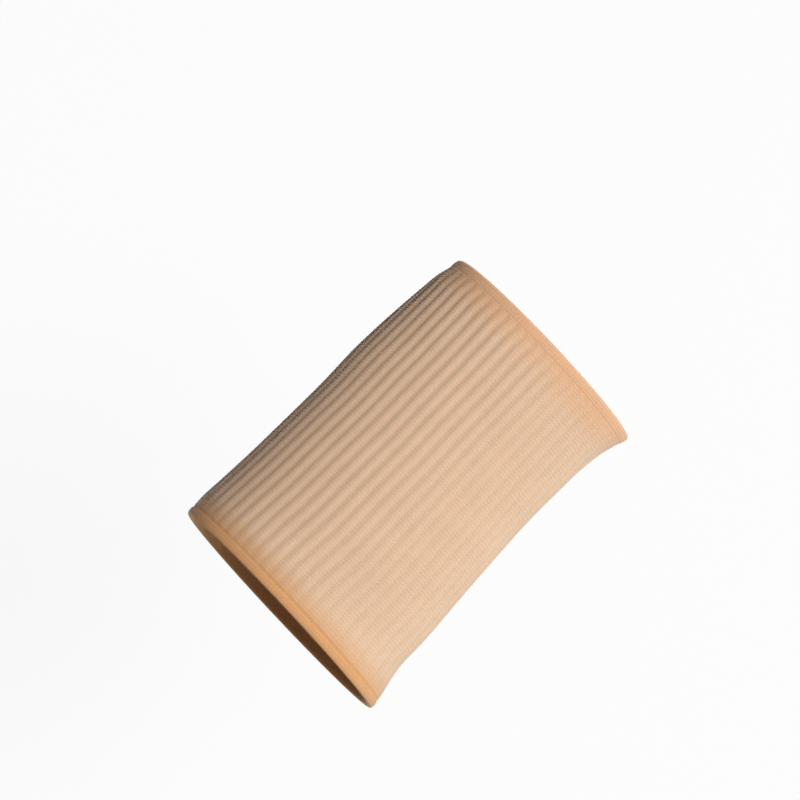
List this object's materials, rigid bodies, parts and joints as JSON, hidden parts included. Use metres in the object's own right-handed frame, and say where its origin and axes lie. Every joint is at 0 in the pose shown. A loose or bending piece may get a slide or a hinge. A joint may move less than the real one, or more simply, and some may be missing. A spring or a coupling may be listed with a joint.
{
  "type": "wrist support",
  "caption": "Pull-on elastic wrist support: a ribbed knit tube with a rolled hem at each end, open right through, in the oval tapered form it has when worn.",
  "frame": {"origin": "middle of the passage that the wrist goes through, halfway along the support", "axes": "+X along the passage, from the wide end towards the hand; +Z out of the broad upper side, over the back of the wrist; +Y out of one edge"},
  "size_m": [0.0936, 0.0689, 0.0492],
  "materials": {
    "rib_knit": "matte beige ribbed elastic knit",
    "hem_knit": "matte orange-tan tight elastic knit"
  },
  "bodies": {
    "root": {"sleeve": "rib_knit", "wide_hem": "hem_knit", "narrow_hem": "hem_knit"}
  },
  "joints": []
}
